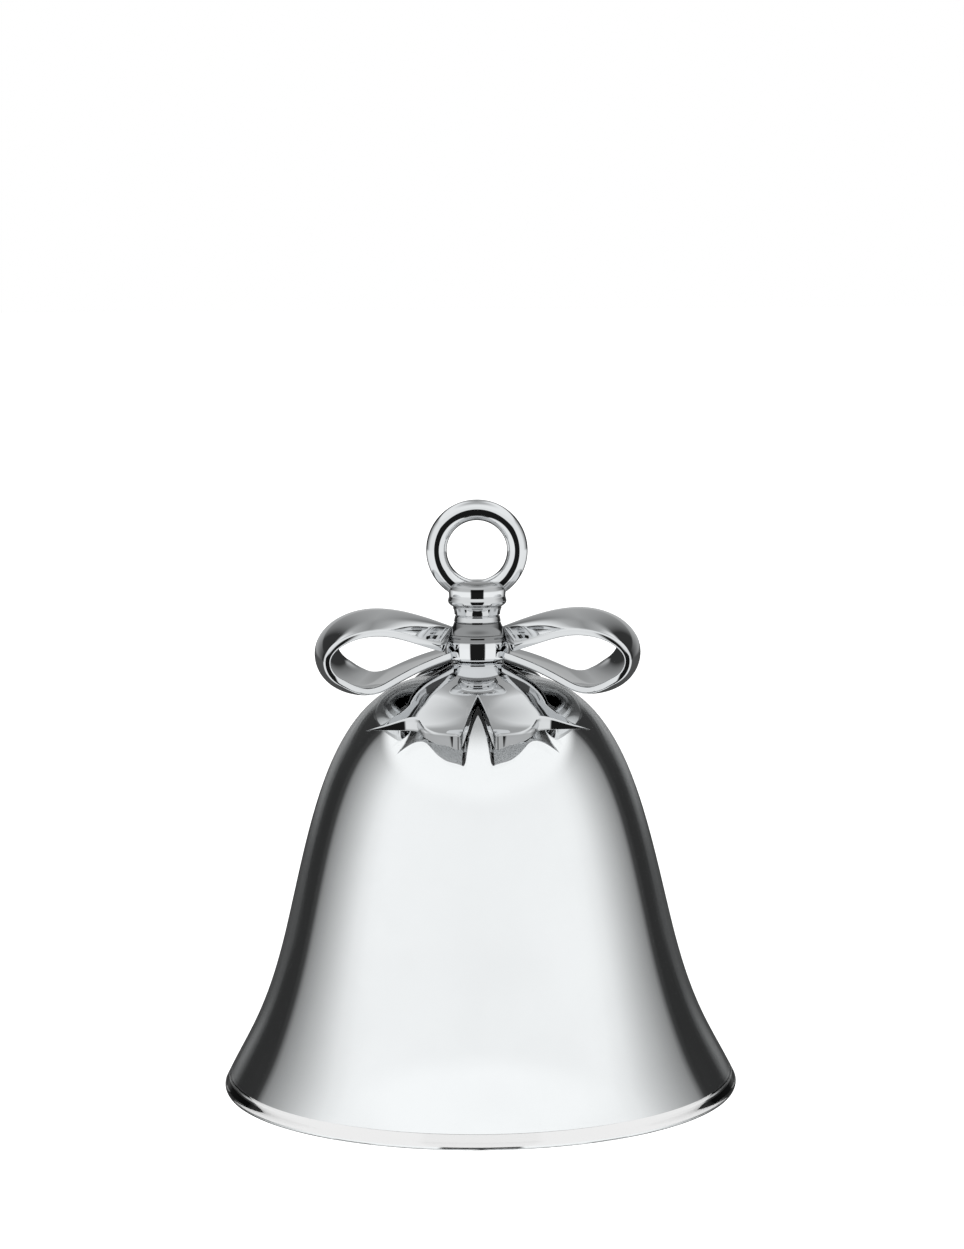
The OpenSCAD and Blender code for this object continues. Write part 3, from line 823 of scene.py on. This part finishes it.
def through(stops, x):
    """Smooth value at x of a line through (place, value) stops."""
    if x <= stops[0][0]:
        return stops[0][1]
    for i in range(len(stops) - 1):
        (x0, y0), (x1, y1) = stops[i], stops[i + 1]
        if x <= x1:
            before = stops[max(i - 1, 0)]
            after = stops[min(i + 2, len(stops) - 1)]
            m0 = (y1 - before[1]) / (x1 - before[0]) * (x1 - x0)
            m1 = (after[1] - y0) / (after[0] - x0) * (x1 - x0)
            t = (x - x0) / (x1 - x0)
            return (y0 * (1 + 2 * t) * (1 - t) ** 2 + m0 * t * (1 - t) ** 2
                    + y1 * t * t * (3 - 2 * t) + m1 * t * t * (t - 1))
    return stops[-1][1]


# Upper surface of the tails on their middle line: radius, height
TAIL_LINE = [(3.0, 73.65), (4.9, 73.1), (7.0, 72.42), (10.0, 71.42), (13.0, 70.35),
             (15.7, 69.15), (18.0, 67.75), (20.5, 66.0), (22.5, 64.8), (24.6, 63.9)]
# Angle of the tails' outer edge from the front, at each radius
TAIL_SIDE = [(3.0, 62), (6.0, 61), (9.0, 60), (12.0, 55), (14.5, 49), (16.5, 44.5),
             (18.5, 42), (20.5, 41.8), (22.5, 43.4), (25.0, 47.5)]
# Radius at which the tails end, at each angle from the front: slit, lobe, notch and horn
TAIL_END = [(0.0, 15.7), (2.6, 17.9), (4.8, 20.6), (6.6, 24.5), (9.0, 24.6), (13.0, 24.5),
            (17.0, 24.2), (21.5, 23.2), (24.5, 22.2), (27.5, 21.2), (30.5, 20.9),
            (34.0, 21.2), (38.0, 22.0), (43.0, 23.4), (47.5, 24.9)]
# Height of the underside at the end, at each angle
TAIL_FOOT = [(0.0, 67.9), (4.8, 63.6), (6.6, 61.6), (12.0, 61.9), (17.0, 62.3), (21.5, 62.8),
             (27.0, 63.4), (34.0, 63.5), (42.0, 63.55), (47.5, 63.6)]


# Share of the way to the outer edge at which the tails start to roll down
ROLL_FROM = 0.58


class ORNAMENT_OT_tails(bpy.types.Operator):
    """Makes the two pairs of swallow-tailed ribbon ends that lie over the crown"""
    bl_idname = "ornament.tails"
    bl_label = "Ribbon Tails"

    def execute(self, context):
        bow = context.scene.ornament_bow
        bell = wall_line(context.scene.ornament_bell, 0)[::-1]
        thick = bow.tails / MM

        def glass(radius):
            for (r0, z0), (r1, z1) in zip(bell, bell[1:]):
                if r0 <= radius <= r1:
                    return mix(z0, z1, (radius - r0) / (r1 - r0))
            return bell[0][1]

        turns = []
        for (a0, _), (a1, _) in zip(TAIL_END, TAIL_END[1:]):
            turns += [mix(a0, a1, i / 6) for i in range(6)]
        last_turn = TAIL_END[-1][0]
        turns += [mix(turns[-1], last_turn, v) for v in (0.35, 0.65, 0.85, 0.95, 1.0)]
        turns = [-a for a in turns[:0:-1]] + turns
        steps, soft = 54, 0.3
        rows = []
        for a in turns:
            side = abs(a) / last_turn
            end = through(TAIL_END, abs(a))
            end_side = through(TAIL_SIDE, end)
            across = abs(a) / end_side
            roll = max(0.0, (across - ROLL_FROM) / (1 - ROLL_FROM))
            foot = through(TAIL_FOOT, abs(a))

            def upper(r):
                width = math.radians(through(TAIL_SIDE, r)) * r
                drop = min(1.5, 0.19 * width) * (1 - math.sqrt(max(0.0, 1 - min(1, roll) ** 2.4)))
                ending = min(1.0, max(0.0, (r - 17.5) / 3.0))
                return through(TAIL_LINE, r) - drop * (1 - 0.85 * ending)

            end_depth = max(0.24, upper(end) - foot)

            def lower(r):
                share_down = min(1.0, max(0.0, (r - 12.0) / (end - 12.0)))
                depth = mix(thick * (1 - 0.45 * min(1, roll)), end_depth,
                            share_down ** 2 * (3 - 2 * share_down))
                return max(upper(r) - depth, glass(r) + 0.32)

            start = 3.0
            radii = [mix(start, end - soft, 1 - (1 - i / steps) ** 1.3) for i in range(steps + 1)]
            lip = min(soft, 0.45 * (upper(end) - lower(end)))
            nose = [math.radians(v) for v in (15, 30, 45, 60, 75, 90)]
            section = [(r, upper(r)) for r in radii]
            section += [(end - soft + soft * math.sin(v),
                         upper(end - soft + soft * math.sin(v)) - lip * (1 - math.cos(v)))
                        for v in nose]
            section += [(end - soft + soft * math.sin(v),
                         lower(end - soft + soft * math.sin(v)) + lip * (1 - math.cos(v)))
                        for v in nose[::-1]]
            section += [(r, lower(r)) for r in radii[::-1]]
            near = min(1.0, (1 - side) * math.radians(last_turn) * end / 0.5)
            round_side = math.sqrt(max(0.0, 1 - (1 - near) ** 2)) * 0.94 + 0.06
            row = []
            for k, (r, z) in enumerate(section):
                middle = (upper(r) + lower(r)) / 2
                z = middle + (z - middle) * round_side
                turn_at = math.radians(a / end_side * through(TAIL_SIDE, r))
                row.append((r * math.sin(turn_at), -r * math.cos(turn_at), z))
            rows.append(row)
        for node, way in (("front_tails", 1), ("back_tails", -1)):
            turned = [[(way * x, way * y, z) for x, y, z in row] for row in rows]
            ready(wrap(node.replace("tails", "ribbon_tails"), turned), node, "bell",
                  "cast_chrome", 45, "tail_chrome")
        return {"FINISHED"}


# ---- swivel and clapper ----

def wire_eye(name, centre, axis, radius=1.8, wire=0.6):
    deselect()
    turned = (math.pi / 2, 0, 0) if axis == "Y" else (0, math.pi / 2, 0)
    bpy.ops.mesh.primitive_torus_add(major_segments=96, minor_segments=32, align="WORLD",
                                     location=(0, 0, centre * MM), rotation=turned,
                                     major_radius=radius * MM, minor_radius=wire * MM)
    piece = bpy.context.object
    piece.name = piece.data.name = name
    bpy.ops.object.transform_apply(location=True, rotation=True, scale=True)
    return piece


class ORNAMENT_OT_swivel(bpy.types.Operator):
    """Makes the swivel's cup and the eye that turns in it"""
    bl_idname = "ornament.swivel"
    bl_label = "Swivel"

    def execute(self, context):
        low, high = (Vector(c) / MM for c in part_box("swivel_cup"))
        z, top, r = low.z, high.z, high.x
        cup = turn("cup", [(0.85, z), (r - 0.5, z), (r, z + 0.5), (r, z + 1.2), (r - 0.12, z + 1.3),
                           (r - 0.12, z + 1.42), (r, z + 1.52), (r, top - 0.3), (r - 0.3, top),
                           (1.6, top), (1.6, z + 2.2), (1.75, z + 2.1), (1.75, z + 0.9),
                           (0.85, z + 0.9)], closed=True, steps=96)
        ready(round_corners(cup, 0.06, 2), "swivel_cup", "bell", "brass")
        low, high = (Vector(c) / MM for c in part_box("swivel_eye"))
        eye_z = low.z + 2.4
        eye = wire_eye("swivel_eye_wire", eye_z, "Y")
        top = high.z
        stem = turn("stem", [(0, eye_z + 1.5), (0.8, eye_z + 1.5), (0.95, eye_z + 1.85),
                             (0.84, eye_z + 2.15), (0.8, eye_z + 2.45), (0.8, top - 0.9),
                             (1.4, top - 0.9), (1.5, top - 0.8), (1.5, top - 0.25),
                             (1.3, top), (0, top)], steps=96)
        ready(join(eye, stem), "swivel_eye", "swivel", "steel", 50)
        return {"FINISHED"}


class ORNAMENT_OT_clapper(bpy.types.Operator):
    """Makes the clapper's rod with its eye, and the ball"""
    bl_idname = "ornament.clapper"
    bl_label = "Clapper"

    def execute(self, context):
        low, high = (Vector(c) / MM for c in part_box("clapper_rod"))
        eye_z = high.z - 2.4
        z = low.z
        ball_low, ball_high = (Vector(c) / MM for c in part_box("clapper_ball"))
        middle, radius = (ball_low.z + ball_high.z) / 2, ball_high.x
        eye = wire_eye("clapper_eye_wire", eye_z, "X")
        over = middle + radius + 0.05
        rod = turn("rod", [(0, z), (0.9, z), (1.2, z + 0.12), (1.3, z + 0.35), (1.3, z + 0.8),
                           (0.7, z + 0.8), (0.7, over), (1.3, over), (1.3, over + 0.45),
                           (1.15, over + 0.7), (0.9, over + 0.8), (0.7, over + 0.95),
                           (0.7, eye_z - 2.5), (0.85, eye_z - 2.2), (0.95, eye_z - 1.9),
                           (0.7, eye_z - 1.5), (0, eye_z - 1.5)], steps=96)
        ready(join(eye, rod), "clapper_rod", "clapper", "steel", 50)
        bore = 0.75
        edge = math.degrees(math.acos(bore / radius))
        outline = arc((0, middle), radius, -edge, edge, 90)
        ball = turn("ball", outline, closed=True, steps=128)
        ready(ball, "clapper_ball", "clapper", "ball_chrome", 50)
        return {"FINISHED"}


# ---- stage ----

def studio_world():
    """A white studio: broad soft panels round the object, with dark gaps for the chrome."""
    world = bpy.data.worlds.new("studio")
    world.use_nodes = True
    bpy.context.scene.world = world
    world.cycles.sampling_method = "NONE"
    shader = Shader(world.node_tree)
    way = shader.add("ShaderNodeTexCoord", None, None, output="Generated")
    parts = shader.add("ShaderNodeSeparateXYZ", None, {"Vector": way})
    x, y, z = (parts.output(n) for n in "XYZ")
    turn_way = shader.maths("ARCTAN2", abs(x), 0.0 - y) / math.pi
    rise = shader.maths("ARCSINE", z) * (180 / math.pi)

    def deg(stops):
        return [(a / 180, v) for a, v in stops]

    middle = shader.ramp(turn_way, deg([(0, 0.93), (66, 0.95), (74, 0.93), (84, 0.84),
                                        (100, 0.56), (112, 0.38), (121, 0.26), (126, 0.03),
                                        (147, 0.03), (153, 0.14), (160, 0.28), (168, 0.42),
                                        (178, 0.5)]))
    raised = shader.ramp(turn_way, deg([(0, 0.93), (66, 0.95), (74, 0.93), (84, 0.84),
                                        (100, 0.56), (112, 0.38), (121, 0.26), (126, 0.03),
                                        (158, 0.04), (164, 0.2), (172, 0.34), (180, 0.42)]))
    below = shader.ramp(turn_way, deg([(0, 1.0), (112, 0.95), (134, 0.5), (141, 0.1),
                                       (180, 0.07)]))
    above = shader.ramp(turn_way, deg([(0, 1.0), (154, 1.0), (166, 0.5), (180, 0.34)]))
    look = shader.blend(shader.between(rise, -6.5, -3.0), below, middle)
    look = shader.blend(shader.between(rise, 6.0, 9.0), look, raised)
    look = shader.blend(shader.between(rise, 30.0, 38.0), look, above)
    look = shader.blend(shader.between(rise, 55.0, 85.0), look, (0.48, 0.48, 0.48, 1))
    # The dark end of the room in front, under the front panel's lower edge
    front = ((1.0 - shader.between(turn_way, 24 / 180, 29 / 180))
             * (1.0 - shader.between(rise, 9.0, 13.0)))
    look = shader.blend(front, look, (0.012, 0.012, 0.012, 1))
    tint = shader.add("ShaderNodeMix", {"data_type": "RGBA", "blend_type": "MULTIPLY"},
                      {0: 1.0, 6: look, 7: (0.985, 1.0, 1.005, 1)}, output=2)
    path = shader.add("ShaderNodeLightPath")
    mirrored = (shader.maths("GREATER_THAN", path.output("Glossy Depth"), 0.5)
                * shader.maths("LESS_THAN", path.output("Diffuse Depth"), 0.5))
    panels = shader.add("ShaderNodeBackground", None, {"Color": tint, "Strength": 1.0})
    plain = shader.add("ShaderNodeBackground", None,
                       {"Color": (1.0, 1.0, 1.0, 1),
                        "Strength": 1.0 + 0.45 * path.output("Is Diffuse Ray")
                        - 0.16 * path.output("Is Transmission Ray")})
    mixed = shader.add("ShaderNodeMixShader", None, {0: mirrored, 1: plain, 2: panels})
    shader.add("ShaderNodeOutputWorld", None, {"Surface": mixed})


class ORNAMENT_OT_stage(bpy.types.Operator):
    """Makes the floor, the studio light and the camera"""
    bl_idname = "ornament.stage"
    bl_label = "Stage"

    def execute(self, context):
        deselect()
        bpy.ops.mesh.primitive_plane_add(size=8.0, location=(0, 0, -0.00005))
        floor = bpy.context.object
        floor.name = floor.data.name = "floor"
        bpy.ops.object.transform_apply(location=True, rotation=True, scale=True)
        floor.data.materials.append(floor_paper("floor_paper"))
        floor.visible_glossy = False
        floor.visible_transmission = False
        studio_world()
        scene = context.scene
        scene.view_settings.view_transform = "Standard"
        scene.view_settings.look = "None"
        bpy.ops.object.camera_add(location=(0.00077, -0.600, 0.1511),
                                  rotation=(math.radians(83.14), 0, 0))
        camera = bpy.context.object
        camera.name = camera.data.name = "camera"
        camera.rotation_euler.rotate_axis("Z", math.radians(-0.40))
        camera.data.sensor_width = 36
        camera.data.lens = 103.94
        camera.data.clip_start = 0.01
        scene.camera = camera
        return {"FINISHED"}


# ---- panel ----

PIECES = ("bell", "lining", "crown_stack", "knot", "neck", "ring", "loops", "tails", "swivel",
          "clapper", "stage")


class ORNAMENT_PT_panel(bpy.types.Panel):
    """Lists the ornament's pieces, sizes and finishes"""
    bl_label = "Bell Ornament"
    bl_idname = "ORNAMENT_PT_panel"
    bl_space_type = "VIEW_3D"
    bl_region_type = "UI"
    bl_category = "Bell Ornament"

    def draw(self, context):
        scene = context.scene
        for title, group in (("Bell", scene.ornament_bell), ("Bow", scene.ornament_bow),
                             ("Finishes", scene.ornament_finishes)):
            box = self.layout.box()
            box.label(text=title)
            for name in group.__annotations__:
                box.prop(group, name)
        column = self.layout.column(align=True)
        for name in PIECES:
            column.operator("ornament." + name)


CLASSES = (BellSizes, BowSizes, Finishes, ORNAMENT_OT_bell, ORNAMENT_OT_lining,
           ORNAMENT_OT_crown_stack, ORNAMENT_OT_knot, ORNAMENT_OT_neck, ORNAMENT_OT_ring,
           ORNAMENT_OT_loops, ORNAMENT_OT_tails, ORNAMENT_OT_swivel, ORNAMENT_OT_clapper,
           ORNAMENT_OT_stage, ORNAMENT_PT_panel)


def register():
    for cls in CLASSES:
        bpy.utils.register_class(cls)
    bpy.types.Scene.ornament_bell = bpy.props.PointerProperty(type=BellSizes)
    bpy.types.Scene.ornament_bow = bpy.props.PointerProperty(type=BowSizes)
    bpy.types.Scene.ornament_finishes = bpy.props.PointerProperty(type=Finishes)


def unregister():
    for name in ("ornament_bell", "ornament_bow", "ornament_finishes"):
        delattr(bpy.types.Scene, name)
    for cls in reversed(CLASSES):
        bpy.utils.unregister_class(cls)


def main():
    register()
    for name in PIECES:
        getattr(bpy.ops.ornament, name)()
    deselect()


if __name__ == "__main__":
    main()
